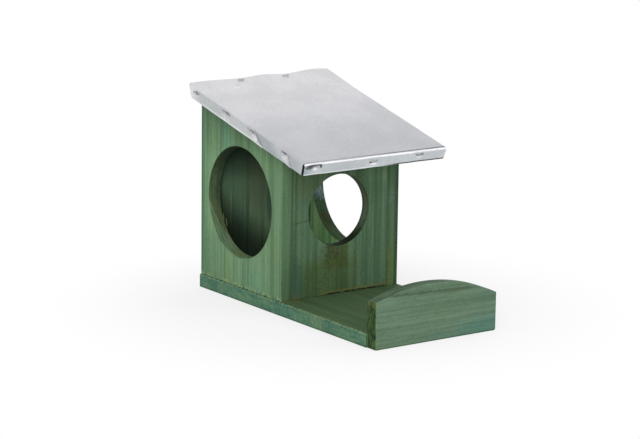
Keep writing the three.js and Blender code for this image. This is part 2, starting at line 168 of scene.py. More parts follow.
class Value:
    """A number that varies over a surface, written in sums as a plain number is."""

    def __init__(self, nodes, socket):
        self.nodes = nodes
        self.socket = socket

    def sum(self, operation, first, second=0.0):
        return self.nodes.node("ShaderNodeMath", {"operation": operation}, {0: first, 1: second})

    def __add__(self, other):
        return self.sum("ADD", self, other)

    def __radd__(self, other):
        return self.sum("ADD", other, self)

    def __sub__(self, other):
        return self.sum("SUBTRACT", self, other)

    def __rsub__(self, other):
        return self.sum("SUBTRACT", other, self)

    def __mul__(self, other):
        return self.sum("MULTIPLY", self, other)

    def __rmul__(self, other):
        return self.sum("MULTIPLY", other, self)

    def __truediv__(self, other):
        return self.sum("DIVIDE", self, other)

    def __pow__(self, other):
        return self.sum("POWER", self, other)

    def __abs__(self):
        return self.sum("ABSOLUTE", self)

    def most(self, other):
        return self.sum("MAXIMUM", self, other)

    def ramp(self, start, end):
        """0 at start and 1 at end, with a soft run between them."""
        settings = {"interpolation_type": "SMOOTHSTEP", "clamp": True}
        return self.nodes.node("ShaderNodeMapRange", settings, {0: self, 1: start, 2: end})

    def fall(self, start, end):
        """1 at start and 0 at end."""
        return 1 - self.ramp(start, end)

    def near(self, middle, reach):
        """1 at a value and 0 beyond its reach."""
        return abs(self - middle).fall(0.0, reach)

    def between(self, low, high, soft):
        """1 from low to high, with soft ends."""
        return self.ramp(low - soft, low + soft) * self.fall(high - soft, high + soft)


class Nodes:
    """The nodes of one material or of the world."""

    def __init__(self, tree):
        self.tree = tree
        tree.nodes.clear()

    def node(self, kind, settings=None, sockets=None, output=0):
        made = self.tree.nodes.new(kind)
        for key, setting in (settings or {}).items():
            setattr(made, key, setting)
        for key, value in (sockets or {}).items():
            if isinstance(value, Value):
                self.tree.links.new(value.socket, made.inputs[key])
            else:
                made.inputs[key].default_value = value
        return Value(self, made.outputs[output]) if made.outputs else None

    def add(self, first, second):
        return self.node("ShaderNodeVectorMath", {"operation": "ADD"}, {0: first, 1: second})

    def stretch(self, vector, scale):
        return self.node("ShaderNodeVectorMath", {"operation": "MULTIPLY"}, {0: vector, 1: scale})

    def split(self, vector):
        made = self.node("ShaderNodeSeparateXYZ", sockets={0: vector})
        return [Value(self, socket) for socket in made.socket.node.outputs]

    def join(self, x, y, z):
        return self.node("ShaderNodeCombineXYZ", sockets={0: x, 1: y, 2: z})

    def noise(self, vector, scale, detail=2.0, roughness=0.5):
        sockets = {"Vector": vector, "Scale": scale, "Detail": detail, "Roughness": roughness}
        return self.node("ShaderNodeTexNoise", sockets=sockets, output="Fac")

    def mix(self, factor, first, second, blend="MIX"):
        settings = {"data_type": "RGBA", "blend_type": blend}
        return self.node("ShaderNodeMix", settings, {0: factor, 6: first, 7: second}, output=2)


class Finish(Nodes):
    """One material, with its place on the part in millimetres."""

    def __init__(self, name):
        self.material = bpy.data.materials.new(name)
        self.material.use_nodes = True
        super().__init__(self.material.node_tree)
        place = self.node("ShaderNodeTexCoord", output="Object")
        self.place = self.stretch(place, (1 / MM, 1 / MM, 1 / MM))
        self.x, self.y, self.z = self.split(self.place)
        self.colour = None

    def cover(self, share, tone):
        self.colour = self.mix(share, self.colour, tone)

    def tint(self, share, tone):
        """The surface's own colour, made darker, paler, bluer or browner by a share."""
        tinted = self.mix(1.0, self.colour, tone, "MULTIPLY")
        self.colour = self.mix(share.ramp(0.0, 1.0), self.colour, tinted)

    def bump(self, height, distance, strength):
        sockets = {"Height": height, "Distance": distance * MM, "Strength": strength}
        return self.node("ShaderNodeBump", sockets=sockets)

    def finish(self, shader):
        self.node("ShaderNodeOutputMaterial", sockets={0: shader})
        return self.material


def paint(red, green, blue):
    """A linear colour from the 0 to 255 numbers that a picture shows."""
    def linear(step):
        share = step / 255
        return share / 12.92 if share <= 0.04045 else ((share + 0.055) / 1.055) ** 2.4
    return (linear(red), linear(green), linear(blue), 1.0)


def oval(across, down, at, low, wide, high):
    """1 in the middle of a soft oval mark and 0 outside it."""
    return (((across - at) / wide) ** 2 + ((down - low) / high) ** 2).fall(0.2, 1.3)


def from_hole(across, up, hole):
    """Distance from a round hole's centre."""
    return ((across - hole[0]) ** 2 + (up - hole[1]) ** 2) ** 0.5


# Stained wood

TEAL = (0.80, 1.0, 1.12, 1.0)
OLIVE = (1.08, 1.0, 0.72, 1.0)
DARKER = (0.5, 0.52, 0.5, 1.0)
PALER = (1.5, 1.42, 1.4, 1.0)


class Wood(Finish):
    """Softwood under a thin stain, with its grain along x, y or z."""

    def __init__(self, name, along, deep, pale, seed):
        super().__init__(name)
        run = {"x": (0.02, 1, 1), "y": (1, 0.02, 1), "z": (1, 1, 0.02)}[along]
        drift = self.noise(self.add(self.place, (seed * 50, 0, seed * 50)), 0.02) * 1.6
        grain = self.add(self.place, self.join(drift, drift, drift))
        grain = self.add(self.stretch(grain, run), (seed, seed, seed))
        self.bands = self.noise(grain, 0.09)
        self.streaks = self.noise(grain, 0.3, 2.0, 0.5)
        self.lines = self.noise(grain, 0.9, 2.0, 0.6)
        self.specks = self.noise(self.place, 0.45, 3.0, 0.6)
        cloud = self.noise(self.add(self.place, (0, seed * 30, 0)), 0.03)
        tone = self.bands * 0.3 + self.streaks * 0.4 + self.lines * 0.15 + self.specks * 0.15
        self.colour = self.mix(tone.ramp(0.38, 0.62), deep, pale)
        self.tint(cloud.ramp(0.5, 0.7) * self.streaks * 0.5, TEAL)
        self.tint(cloud.fall(0.32, 0.5) * self.streaks * 0.5, OLIVE)
        self.tint(self.lines.ramp(0.58, 0.7) * 0.13, DARKER)
        self.tint(self.specks.fall(0.3, 0.42) * 0.25, DARKER)
        facing = self.split(self.node("ShaderNodeNewGeometry", output="Normal"))["xyz".index(along)]
        self.tint(abs(facing).ramp(0.7, 0.9) * (0.3 + self.lines * 0.5), DARKER)

    def hole_wall(self, across, up, hole, depth, deep, pale):
        """Bare cut wood on a round hole's wall, with fine rings from the cutter."""
        wall = from_hole(across, up, hole).fall(hole[2] + 0.1, hole[2] + 0.9)
        rings = self.noise(self.join(depth, across * 0.03, up * 0.03), 0.9, 2.0, 0.6)
        cut = rings * 0.5 + self.streaks * 0.3 + self.specks * 0.2
        return wall, self.mix(cut.ramp(0.4, 0.6), deep, pale)

    def finished(self):
        shader = self.node("ShaderNodeBsdfPrincipled", sockets={
            "Base Color": self.colour,
            "Roughness": 0.62 + self.streaks * 0.2,
            "Normal": self.bump(self.streaks * 0.8 + self.lines * 0.2, 0.35, 0.3),
            "Specular IOR Level": 0.15,
        })
        return self.finish(shader)


def side_wood():
    wood = Wood("side_wood", "z", paint(88, 121, 87), paint(117, 150, 114), 3.1)
    x, y = wood.x, wood.y
    left = x.fall(-1.0, 1.0)
    right = 1 - left
    face = x.fall(-SIDE_OUT, -SIDE_OUT + 0.8)
    side_face_marks(wood, face)
    inner = abs(x).fall(SIDE_IN + 0.2, SIDE_IN + 0.9) * y.between(FRONT_BACK, REAR_IN, 1.0)
    grain = (wood.streaks * 0.5 + wood.lines * 0.5).ramp(0.42, 0.58)
    wood.cover(inner * 0.85, wood.mix(grain, paint(136, 192, 124), paint(186, 228, 166)))
    side_hole_marks(wood, left, right)
    side_front_edges(wood, left, right)
    return wood.finished()


def side_face_marks(wood, face):
    """Streaks, patches and the ragged foot of the left panel's outer face, painted shade near its top and a
    painted highlight at its front edge.
    """
    y, z = wood.y, wood.z
    wood.tint(y.between(98.5, 104.0, 2.0) * z.ramp(60.0, 130.0) * face * wood.streaks, PALER)
    wood.tint(y.near(110.5, 1.4) * z.ramp(80.0, 120.0) * face * 0.4, PALER)
    wood.tint(y.near(89.0, 1.2) * z.between(124.0, 149.0, 4.0) * face * 0.4, PALER)
    wood.tint(y.between(79.0, 94.0, 2.5) * z.ramp(116.0, 130.0) * face * 0.6, TEAL)
    # Painted shade: darker towards the top, under the roof.
    wood.tint(z.ramp(104.0, 150.0) * face * 0.5, DARKER)
    wood.tint(z.fall(20.0, 50.0) * face * 0.08, DARKER)
    wood.tint(y.ramp(119.5, 122.5) * face * 0.9, TEAL)
    wood.tint(y.ramp(121.5, 123.5) * face * 0.6, DARKER)
    wood.tint(y.between(74.0, 90.0, 5.0) * z.fall(28.0, 50.0) * face * 0.45, OLIVE)
    wood.tint(y.between(34.0, 60.5, 3.0) * z.fall(20.0, 40.0) * face * 0.5, TEAL)
    wood.tint(y.near(61.8, 1.1) * z.fall(32.0, 37.0) * face * 0.8, DARKER)
    wood.tint(y.near(9.5, 3.5) * face * 0.35, DARKER)
    wood.tint(y.fall(20.0, 50.0) * face * 0.1, DARKER)
    wood.tint(y.between(100.0, 119.0, 3.0) * z.between(50.0, 120.0, 10.0) * face * 0.45, PALER)
    # Painted highlight along the rounded front edge.
    wood.tint(y.fall(BOX_FRONT + 1.2, BOX_FRONT + 2.4) * face * 0.3, PALER)
    wood.cover(oval(y + (wood.lines - 0.5) * 6, z, 96.8, 49.5, 2.8, 6.0) * face * 0.7, paint(72, 116, 100))
    foot = z.fall(11.8, 12.4 + wood.specks * 6) * face
    wood.tint(foot, TEAL)
    wood.cover(foot * wood.specks.ramp(0.45, 0.55) * 0.9, paint(140, 160, 112))
    wood.tint(foot * wood.specks.fall(0.38, 0.46) * z.fall(13.0, 15.0), DARKER)


def side_hole_marks(wood, left, right):
    """Cut walls of the two side holes, torn low in the left one and at the back of the right one, with
    painted shade on the left one's upper wall and a painted highlight on the right one's torn back.
    """
    y, z = wood.y, wood.z
    depth = SIDE_OUT - abs(wood.x)
    wall, cut = wood.hole_wall(y, z, SIDE_HOLE, depth, paint(54, 71, 46), paint(84, 102, 72))
    step = depth - (78.0 - z) * 0.31 + (wood.specks - 0.5) * 3
    low = y.ramp(40.0, 60.0) * z.fall(72.0, 80.0) * left
    fibres = wood.noise(wood.join(depth, y * 0.08, z * 0.08), 0.7, 3.0, 0.6).ramp(0.38, 0.62)
    # Painted shade on the left hole's upper wall: darker towards its inner edge, and near black at the top.
    cut = wood.mix(depth.ramp(5.0, 10.5) * z.ramp(84.0, 104.0) * left * 0.35, cut, paint(40, 48, 32))
    cut = wood.mix(z.ramp(94.0, 118.0) * left * 0.8, cut, paint(20, 28, 12))
    torn = wood.mix(fibres, paint(80, 104, 74), paint(112, 138, 104))
    cut = wood.mix(step.fall(-0.8, 0.6) * low, cut, torn)
    bare = wood.mix(fibres, paint(74, 84, 50), paint(98, 104, 70))
    cut = wood.mix(step.ramp(0.0, 2.0) * low * 0.6, cut, bare)
    cut = wood.mix(step.near(0.0, 1.1) * low * fibres * 0.8, cut, paint(136, 140, 112))
    cut = wood.mix(y.near(74.0, 10.0) * z.fall(36.0, 46.0) * left * 0.5, cut, paint(104, 116, 62))
    olive = wood.mix(fibres, paint(34, 44, 22), paint(64, 70, 36))
    green = wood.mix(fibres, paint(34, 62, 40), paint(58, 92, 62))
    olive = wood.mix((z + y * 0.2).ramp(74.0, 80.0) * 0.8, olive, green)
    cut = wood.mix(right * 0.9, cut, wood.mix(z.fall(40.0, 50.0) * fibres * 0.7, olive, paint(62, 104, 66)))
    cut = wood.mix(right * depth.fall(0.6, 1.6) * 0.8, cut, paint(14, 18, 10))
    wood.cover(wall * 0.92, cut)
    # Pale grey on the torn back of the right hole's wall: torn wood, with a painted highlight from light
    # falling on it.
    torn_and_lit = wall * right * y.ramp(96.0, 100.0) * (z + (wood.specks - 0.5) * 24).between(68.0, 78.0, 4.0)
    grey = wood.mix(wood.lines.ramp(0.36, 0.64), paint(70, 98, 88), paint(144, 160, 164))
    wood.cover(torn_and_lit * 0.85, grey)


def side_front_edges(wood, left, right):
    """Front edges of the side panels, left and right of the front panel."""
    x, y, z = wood.x, wood.y, wood.z
    strip = y.fall(BOX_FRONT + 0.1, BOX_FRONT + 0.5)
    left_strip = strip * left
    right_strip = strip * right
    # Both front edges darker, partly their grain's own tone and partly painted shade under the roof's
    # overhang.
    wood.tint(strip * (0.5 + right * 0.27), DARKER)
    wood.tint(left_strip * (x - z * 0.02).ramp(-52.4, -51.4) * 0.6, DARKER)
    wood.tint(left_strip * z.ramp(84.0, 112.0) * x.fall(-53.0, -50.5) * 0.5, PALER)
    wood.tint(left_strip * z.fall(24.0, 74.0) * 0.45, DARKER)
    wood.tint(left_strip * wood.streaks.ramp(0.42, 0.58) * 0.4, DARKER)
    wood.tint(left_strip * wood.streaks.fall(0.4, 0.5) * 0.3, PALER)
    wood.tint(right_strip * z.fall(30.0, 75.0) * 0.7, OLIVE)
    wood.tint(right_strip * wood.streaks.ramp(0.42, 0.58) * 0.25, DARKER)
    inside = (x + (wood.specks - 0.5) * 6).between(SIDE_IN + 0.6, SIDE_IN + 4.6, 1.0)
    wood.cover(strip * inside * z.fall(24.0, 68.0) * wood.specks.ramp(0.4, 0.6) * 0.7, paint(98, 102, 50))
    wood.tint(strip * x.ramp(SIDE_OUT - 5.0, SIDE_OUT - 2.0) * wood.specks.ramp(0.3, 0.5), DARKER)
    wood.tint(strip * x.ramp(SIDE_OUT - 1.5, SIDE_OUT - 0.7) * 0.7, DARKER)
    blue = x.between(SIDE_IN + 1.0, SIDE_IN + 6.0, 2.0) * z.between(82.0, 93.0, 5.0)
    wood.cover(strip * blue * wood.specks.ramp(0.35, 0.6) * 0.4, paint(96, 124, 126))


def front_wood():
    wood = Wood("front_wood", "z", paint(64, 92, 66), paint(93, 121, 93), 11.7)
    x, y, z = wood.x, wood.y, wood.z
    face = y.fall(BOX_FRONT + 0.2, BOX_FRONT + 1.0)
    ragged = (wood.streaks - 0.5) * 16 + (wood.specks - 0.5) * 14
    blue = (x + ragged * 0.4).between(-49.0, -39.0, 4.0) * (z + ragged).between(12.0, 44.0, 11.0) * face
    wood.tint(blue * 0.6, TEAL)
    wood.cover(blue * 0.45, paint(44, 68, 58))
    low = (x + ragged).between(-36.0, 13.0, 8.0) * (z + ragged).between(2.0, 42.0, 9.0) * face
    wood.tint(low * 0.9, OLIVE)
    wood.cover(low * (wood.specks.ramp(0.4, 0.6) * 0.3 + 0.3), paint(50, 68, 38))
    brown = (x + ragged).between(-17.0, 10.0, 4.0) * (z + ragged * 0.5).between(33.0, 54.0, 4.0) * face
    wood.tint(brown * 0.9, OLIVE)
    wood.cover(brown * (wood.specks.ramp(0.35, 0.65) * 0.35 + 0.35), paint(52, 62, 30))
    core = (x + ragged).between(-15.0, -2.0, 3.0) * (z + ragged * 0.6).between(43.0, 54.0, 3.0) * face
    wood.cover(core * wood.specks.ramp(0.3, 0.6) * 0.55, paint(46, 44, 22))
    golden_lines = (x + ragged * 0.1).near(-9.0, 2.0) * (z + ragged).between(14.0, 36.0, 6.0)
    wood.cover(golden_lines * wood.specks.ramp(0.5, 0.62) * face * 0.5, paint(104, 100, 52))
    upper = (x + ragged * 0.5).between(-48.0, -16.0, 5.0) * (z + ragged).ramp(90.0, 104.0)
    wood.tint(upper * face * 0.6, OLIVE)
    wood.cover(upper * wood.streaks.ramp(0.4, 0.6) * face * 0.3, paint(96, 104, 86))
    # Painted shade under the roof's overhang: darker towards the top.
    wood.tint(z.ramp(113.0, 124.0) * face * 0.4, DARKER)
    # Painted light: paler high on the right, lifting the roof's shadow there.
    wood.tint(x.ramp(12.0, 28.0) * z.ramp(92.0, 106.0) * face * 0.75, PALER)
    wood.tint(x.fall(-46.0, -43.0) * z.fall(60.0, 90.0) * face * 0.4, DARKER)
    wood.tint(x.ramp(28.0, 40.0) * z.ramp(60.0, 90.0) * face * 0.3, PALER)
    wood.tint(x.fall(-42.0, -30.0) * z.ramp(70.0, 90.0) * face * 0.2, PALER)
    wood.tint(x.ramp(CROSS_HALF - 1.6, CROSS_HALF - 0.6) * face * wood.specks.ramp(0.35, 0.55) * 0.8, DARKER)
    wood.tint((z - 0.1 * x).near(79.5, 1.1) * x.between(-54.0, -31.0, 2.0) * face * 0.7, DARKER)
    front_foot_marks(wood, face)
    depth = y - BOX_FRONT
    wall, cut = wood.hole_wall(x, z, FRONT_HOLE, depth, paint(62, 78, 58), paint(96, 114, 90))
    worn = depth.fall(1.0, 6.0) * z.ramp(62.0, 84.0)
    cut = wood.mix(worn * wood.specks.ramp(0.4, 0.6), cut, paint(84, 90, 56))
    cut = wood.mix(z.fall(56.0, 72.0) * 0.95, cut, paint(16, 28, 4))
    wood.cover(wall, cut)
    # Painted shade: a dark arc on the face round the hole's left edge.
    rim = from_hole(x, z, FRONT_HOLE).near(FRONT_HOLE[2] + 0.5, 1.0)
    wood.cover(rim * x.fall(-29.0, -24.0) * z.between(68.0, 92.0, 4.0) * face * 0.8, paint(18, 36, 22))
    return wood.finished()


def front_foot_marks(wood, face):
    """Golden bare edge and dark chips along the front panel's foot."""
    x, z = wood.x, wood.z
    height = 12.2 + x.ramp(-20.0, 40.0) * 1.2 + (wood.specks - 0.4) * 10
    golden = z.fall(height, height + 1.6) * x.between(-19.0, 49.0, 3.0) * face
    wood.cover(golden * 0.6, paint(104, 106, 56))
    corner = z.fall(12.0, 18.0) * x.fall(-46.0, -36.0) * face
    wood.cover(corner * wood.specks.ramp(0.3, 0.6) * 0.7, paint(92, 92, 42))
    gap = z.fall(12.2, 13.4) * x.between(-14.0, 46.0, 3.0) * face
    wood.cover(gap * wood.specks.ramp(0.42, 0.5), paint(16, 22, 12))


def rear_wood():
    wood = Wood("rear_wood", "z", paint(86, 110, 84), paint(102, 126, 98), 23.3)
    x, y, z = wood.x, wood.y, wood.z
    inside = y.fall(REAR_IN + 0.2, REAR_IN + 1.0)
    left_part = inside * x.fall(-16.4, -15.6)
    wood.tint(left_part * 0.3, TEAL)
    brown = inside * x.between(-15.6, 2.0, 1.2) * (z + wood.specks * 20).ramp(70.0, 95.0)
    wood.cover(brown * 0.4, paint(98, 100, 76))
    wood.cover(oval(x, z, 5.2, 70.0, 3.8, 22.0) * inside * 0.8, paint(62, 94, 74))
    wood.tint((x + (wood.specks - 0.5) * 4).between(-19.5, -15.6, 0.6) * inside * 0.45, DARKER)
    wood.tint(wood.lines.ramp(0.45, 0.6) * z.fall(66.0, 84.0) * inside * 0.5, DARKER)
    wood.cover(x.near(-34.6, 0.9) * z.between(52.0, 80.0, 5.0) * inside * 0.7, paint(138, 158, 134))
    # Painted shade inside the box: darker towards the left panel and deep in the corner beside it.
    wood.tint(inside * x.fall(-40.0, -26.0) * 0.4, DARKER)
    wood.tint(inside * x.fall(-45.5, -40.5) * z.ramp(56.0, 70.0), DARKER)
    wood.tint(left_part * 0.25, DARKER)
    # More painted shade inside: a little darker at middle heights, darker towards the bottom along a
    # slanting edge, and darker towards the top.
    height = z + x * 0.8 + 16.0
    wood.tint(inside * z.between(68.0, 108.0, 8.0) * 0.3, DARKER)
    for low, high, share in ((46.0, 76.0, 1.0), (40.0, 60.0, 1.0), (34.0, 50.0, 0.7)):
        wood.tint(inside * height.fall(low, high) * share, DARKER)
    for low, high in ((80.0, 110.0), (98.0, 118.0)):
        wood.tint(inside * z.ramp(low, high), DARKER)
    for at, top in ((-43.0, 66.0), (-40.0, 61.0)):
        splinter = oval(x + z * 0.15, z, at + top * 0.15, top - 6.0, 0.6, 4.0)
        wood.cover(splinter * inside * 0.5, paint(172, 180, 124))
    return wood.finished()


def lip_wood():
    wood = Wood("lip_wood", "x", paint(84, 108, 85), paint(106, 130, 108), 41.3)
    x, y, z = wood.x, wood.y, wood.z
    face = y.fall(FRONT + 0.2, FRONT + 1.0)
    ragged = (wood.streaks - 0.5) * 8 + (wood.specks - 0.5) * 6
    level = z + 0.03 * x + (wood.specks - 0.5) * 3
    # Painted shade: a dark band across the face under the arch's top, and a fainter one above it on the
    # left.
    wood.tint(level.near(40.0, 2.2) * x.between(-48.0, 36.0, 9.0) * face * 0.8, DARKER)
    wood.tint(level.between(39.0, 45.0, 1.5) * x.between(-52.0, -8.0, 8.0) * face * 0.3, DARKER)
    across = x + ragged * 3
    up = z + ragged
    wood.tint(across.between(22.0, 64.0, 9.0) * up.fall(6.0, 19.0) * face * 0.9, TEAL)
    wood.tint(across.between(-20.0, 30.0, 16.0) * up.fall(3.0, 11.0) * face * 0.5, TEAL)
    wood.tint(x.ramp(10.0, 40.0) * face * 0.06, DARKER)
    wood.tint(x.ramp(BASE_HALF - 1.8, BASE_HALF - 1.0) * face * 0.25, DARKER)
    wood.tint(z.fall(0.8, 1.8) * face * 0.6, DARKER)
    short = wood.noise(wood.stretch(wood.place, (0.2, 1, 1)), 0.9, 2.0, 0.6)
    wood.tint(short.ramp(0.45, 0.65) * face * 0.22, DARKER)
    wood.tint(short.fall(0.35, 0.5) * face * 0.22, PALER)
    wood.tint((x + ragged).between(36.0, 64.0, 8.0) * wood.specks.ramp(0.4, 0.6) * face * 0.6, TEAL)
    flecks = x.between(-12.0, 12.0, 2.0) * z.ramp(44.9, 46.2) * wood.specks.ramp(0.45, 0.6)
    wood.cover(flecks * 0.6, paint(136, 158, 142))
    specks = x.between(-60.0, -51.0, 1.5) * z.between(11.0, 18.0, 2.0) * wood.specks.ramp(0.5, 0.6) * face
    wood.tint(specks * 0.5, DARKER)
    top = (z - 36.0 - (x + BASE_HALF) * 0.12).ramp(0.0, 2.0) * (1 - face)
    wood.cover(top * 0.8, wood.mix(wood.streaks.ramp(0.4, 0.6), paint(58, 76, 57), paint(76, 96, 75)))
    # Painted highlight along the face's left edge.
    wood.tint(x.fall(-BASE_HALF + 0.8, -BASE_HALF + 2.2) * face * 0.5, PALER)
    end = x.fall(-BASE_HALF + 0.3, -BASE_HALF + 1.2)
    rings = wood.noise(wood.stretch(wood.place, (0.2, 1, 0.24)), 0.5, 3.0, 0.6)
    wood.cover(end * 0.92, wood.mix(rings.ramp(0.43, 0.57), paint(12, 34, 10), paint(64, 90, 40)))
    rim = y.near(LIP_BACK - 0.6, 1.8) * end * wood.specks.ramp(0.4, 0.55)
    wood.cover(rim * 0.45, paint(98, 106, 54))
    head = end * (z - 36.6).ramp(-2.5, -1.0) * wood.specks.ramp(0.35, 0.5)
    wood.cover(head * 0.35, paint(104, 110, 62))
    return wood.finished()


def base_wood():
    wood = Wood("base_wood", "y", paint(62, 85, 56), paint(76, 98, 68), 31.9)
    x, y, z = wood.x, wood.y, wood.z
    edge = abs(x).ramp(BASE_HALF - 1.2, BASE_HALF - 0.4)
    upright = wood.noise(wood.stretch(wood.place, (1, 1, 0.15)), 0.3, 3.0, 0.6)
    blotches = (wood.specks * 0.75 + upright * 0.25).ramp(0.36, 0.64)
    teal = wood.mix(blotches, paint(72, 110, 88), paint(100, 135, 106))
    wood.cover(edge * 0.9, teal)
    patches = wood.noise(wood.stretch(wood.place, (1, 0.5, 1)), 0.12)
    wood.tint(edge * wood.streaks.fall(0.38, 0.52) * 0.4, DARKER)
    wood.tint(edge * patches.ramp(0.48, 0.6) * 0.35, DARKER)
    wood.tint(edge * patches.ramp(0.45, 0.6) * 0.7, TEAL)
    wood.tint(edge * patches.fall(0.4, 0.5) * 0.3, PALER)
    # Pale flecks on the base's top at the side panels' feet: partly the wood's own flecks, partly painted
    # light against the dark joint line there.
    rim = z.ramp(9.6, 10.8) * abs(x).ramp(SIDE_OUT - 1.0, SIDE_OUT)
    wood.cover(rim * wood.specks.ramp(0.47, 0.56) * 0.8, paint(126, 150, 110))
    ragged = (upright - 0.5) * 24
    wood.cover((y + ragged).between(-56.0, -44.0, 9.0) * edge * 0.45, paint(116, 136, 96))
    wood.tint((y + ragged).between(-72.0, -62.0, 9.0) * edge * 0.4, DARKER)
    wood.tint(edge * z.fall(1.0, 2.4) * 0.5, DARKER)
    ochre = z.ramp(10.0, 11.0) * (1 - edge) * y.near(BOX_FRONT, 8.0) * x.fall(-50.0, -30.0)
    wood.cover(ochre * wood.specks.ramp(0.3, 0.6) * 0.8, paint(98, 96, 44))
    return wood.finished()


def roof_wood():
    wood = Wood("roof_wood", "x", paint(78, 104, 76), paint(108, 134, 102), 53.7)
    shade = wood.x.fall(-68.6, -67.6) * wood.y.fall(-30.0, -15.0)
    wood.cover(shade * 0.9, paint(20, 24, 18))
    return wood.finished()


# Metal

# Marks round the staples on the folded sheet, the dark ones partly dirt and partly painted shade, the pale
# ones painted highlights: place along it, place down its flange, reach both ways and share
LEFT_DIRT_AND_SHADE = ((12.0, 4.3, 1.8, 2.0, 0.55), (53.5, 3.1, 1.5, 0.8, 0.6), (60.0, 2.9, 1.5, 0.7, 0.8),
             (63.4, 3.8, 1.0, 1.3, 0.9), (91.5, 3.2, 2.2, 1.0, 0.35), (97.0, 4.0, 3.0, 0.8, 0.35),
             (101.4, 4.3, 1.3, 0.9, 0.5), (141.5, 2.5, 2.2, 0.7, 0.75), (146.0, 2.2, 2.4, 0.7, 0.6))
LEFT_HIGHLIGHTS = ((58.0, 7.5, 8.0, 2.2, 0.3), (101.7, 7.4, 6.0, 2.6, 0.55), (147.5, 6.2, 6.0, 3.4, 0.4))
FRONT_DIRT_AND_SHADE = ((-60.5, 2.2, 8.0, 1.0, 1.0), (-66.0, 3.6, 3.6, 1.9, 0.9), (-63.0, 4.4, 2.0, 2.4, 0.6),
              (-54.2, 3.5, 1.3, 2.0, 1.0), (-4.6, 5.7, 1.9, 0.8, 1.0), (1.2, 4.6, 1.0, 0.9, 0.8),
              (41.6, 4.2, 1.4, 0.8, 0.7), (47.0, 3.6, 1.1, 1.0, 0.9))
FRONT_HIGHLIGHTS = ((-60.2, 5.4, 4.0, 1.3, 0.9), (-1.4, 6.9, 4.0, 1.3, 1.0), (44.0, 5.6, 3.6, 1.5, 0.9))


def galvanised():
    metal = Finish("galvanised_sheet")
    x, y, z = metal.x, metal.y, metal.z
    along = (REAR - y) * math.cos(SLOPE) + (ROOF_REAR_Z - z) * math.sin(SLOPE)
    drop = (ROOF_REAR_Z - z) * math.cos(SLOPE) - (REAR - y) * math.sin(SLOPE)
    left = x.fall(-FLAT_HALF, -FLAT_HALF + 0.6) * drop.ramp(0.6, 1.8)
    front = along.ramp(FLAT_END - 0.4, FLAT_END + 0.2) * drop.ramp(1.0, 1.8)
    spangle = metal.noise(metal.place, 0.3, 3.0, 0.6)
    across_grain = metal.noise(metal.stretch(metal.place, (0.05, 1, 1)), 0.8, 2.0, 0.6)
    down_grain = metal.noise(metal.stretch(metal.place, (1, 0.08, 0.08)), 0.5)
    cloud = metal.noise(metal.place, 0.03)
    # Painted reflections: the top darker towards the front, the left flange greyer than the top past its
    # pale rear end, and the front flange in a tone of its own.
    metal.colour = metal.mix(along.ramp(10.0, 165.0), paint(219, 219, 222), paint(193, 194, 199))
    metal.cover(left * along.fall(4.0, 20.0) * 0.6, paint(226, 226, 228))
    metal.cover(left * along.ramp(4.0, 22.0) * 0.9, paint(188, 193, 193))
    metal.cover(front * 0.9, paint(201, 206, 209))
    metal.cover(front * x.fall(-70.0, -60.0) * 0.6, paint(168, 188, 184))
    painted_crease_shade(metal, along, drop, left)
    hem_marks(metal, along, drop, left, front)
    staple_marks(metal, along, LEFT_DIRT_AND_SHADE, LEFT_HIGHLIGHTS, drop, left, spangle)
    staple_marks(metal, x, FRONT_DIRT_AND_SHADE, FRONT_HIGHLIGHTS, drop, front, spangle)
    # Painted highlight: a glint on the dent by the rear left staple, with a soft grey mark beside it.
    metal.cover(oval(x, along, -35.4, 18.5, 3.2, 2.0) * spangle.ramp(0.35, 0.6) * 0.9, paint(252, 252, 252))
    metal.cover(oval(x, along, -31.5, 13.0, 4.0, 1.3) * 0.3, paint(170, 171, 175))
    tone = (spangle * 0.4 + across_grain * 0.08 + down_grain * 0.12 + cloud * 0.4).ramp(0.38, 0.62)
    metal.tint(1 - tone, paint(243, 243, 244))
    shader = metal.node("ShaderNodeBsdfPrincipled", sockets={
        "Base Color": metal.colour,
        "Metallic": 0.7,
        "Roughness": 0.3 + spangle * 0.16,
        "Normal": metal.bump(spangle * 0.5 + across_grain * 0.5, 0.12, 0.25),
    })
    return metal.finish(shader)


def painted_crease_shade(metal, along, drop, left):
    """Painted shade: dark lines in the left flange's two creases, and the greyer facet in front of each."""
    # How far each facet fades, its share, and its dark line's share and reach
    looks = ((36.0, 0.9, 0.8, 1.6), (20.0, 0.5, 0.4, 2.2))
    for (_, top, bottom), (fade, facet, line, reach) in zip(CREASES, looks):
        past = along - (top + (bottom - top) * (drop - FOLD_RADIUS) / (FRONT_FLANGE - FOLD_RADIUS))
        metal.cover(past.ramp(-0.3, 0.5) * past.fall(fade * 0.4, fade) * left * facet, paint(166, 171, 177))
        metal.cover(past.near(0.6, reach) * left * line, paint(112, 116, 126))


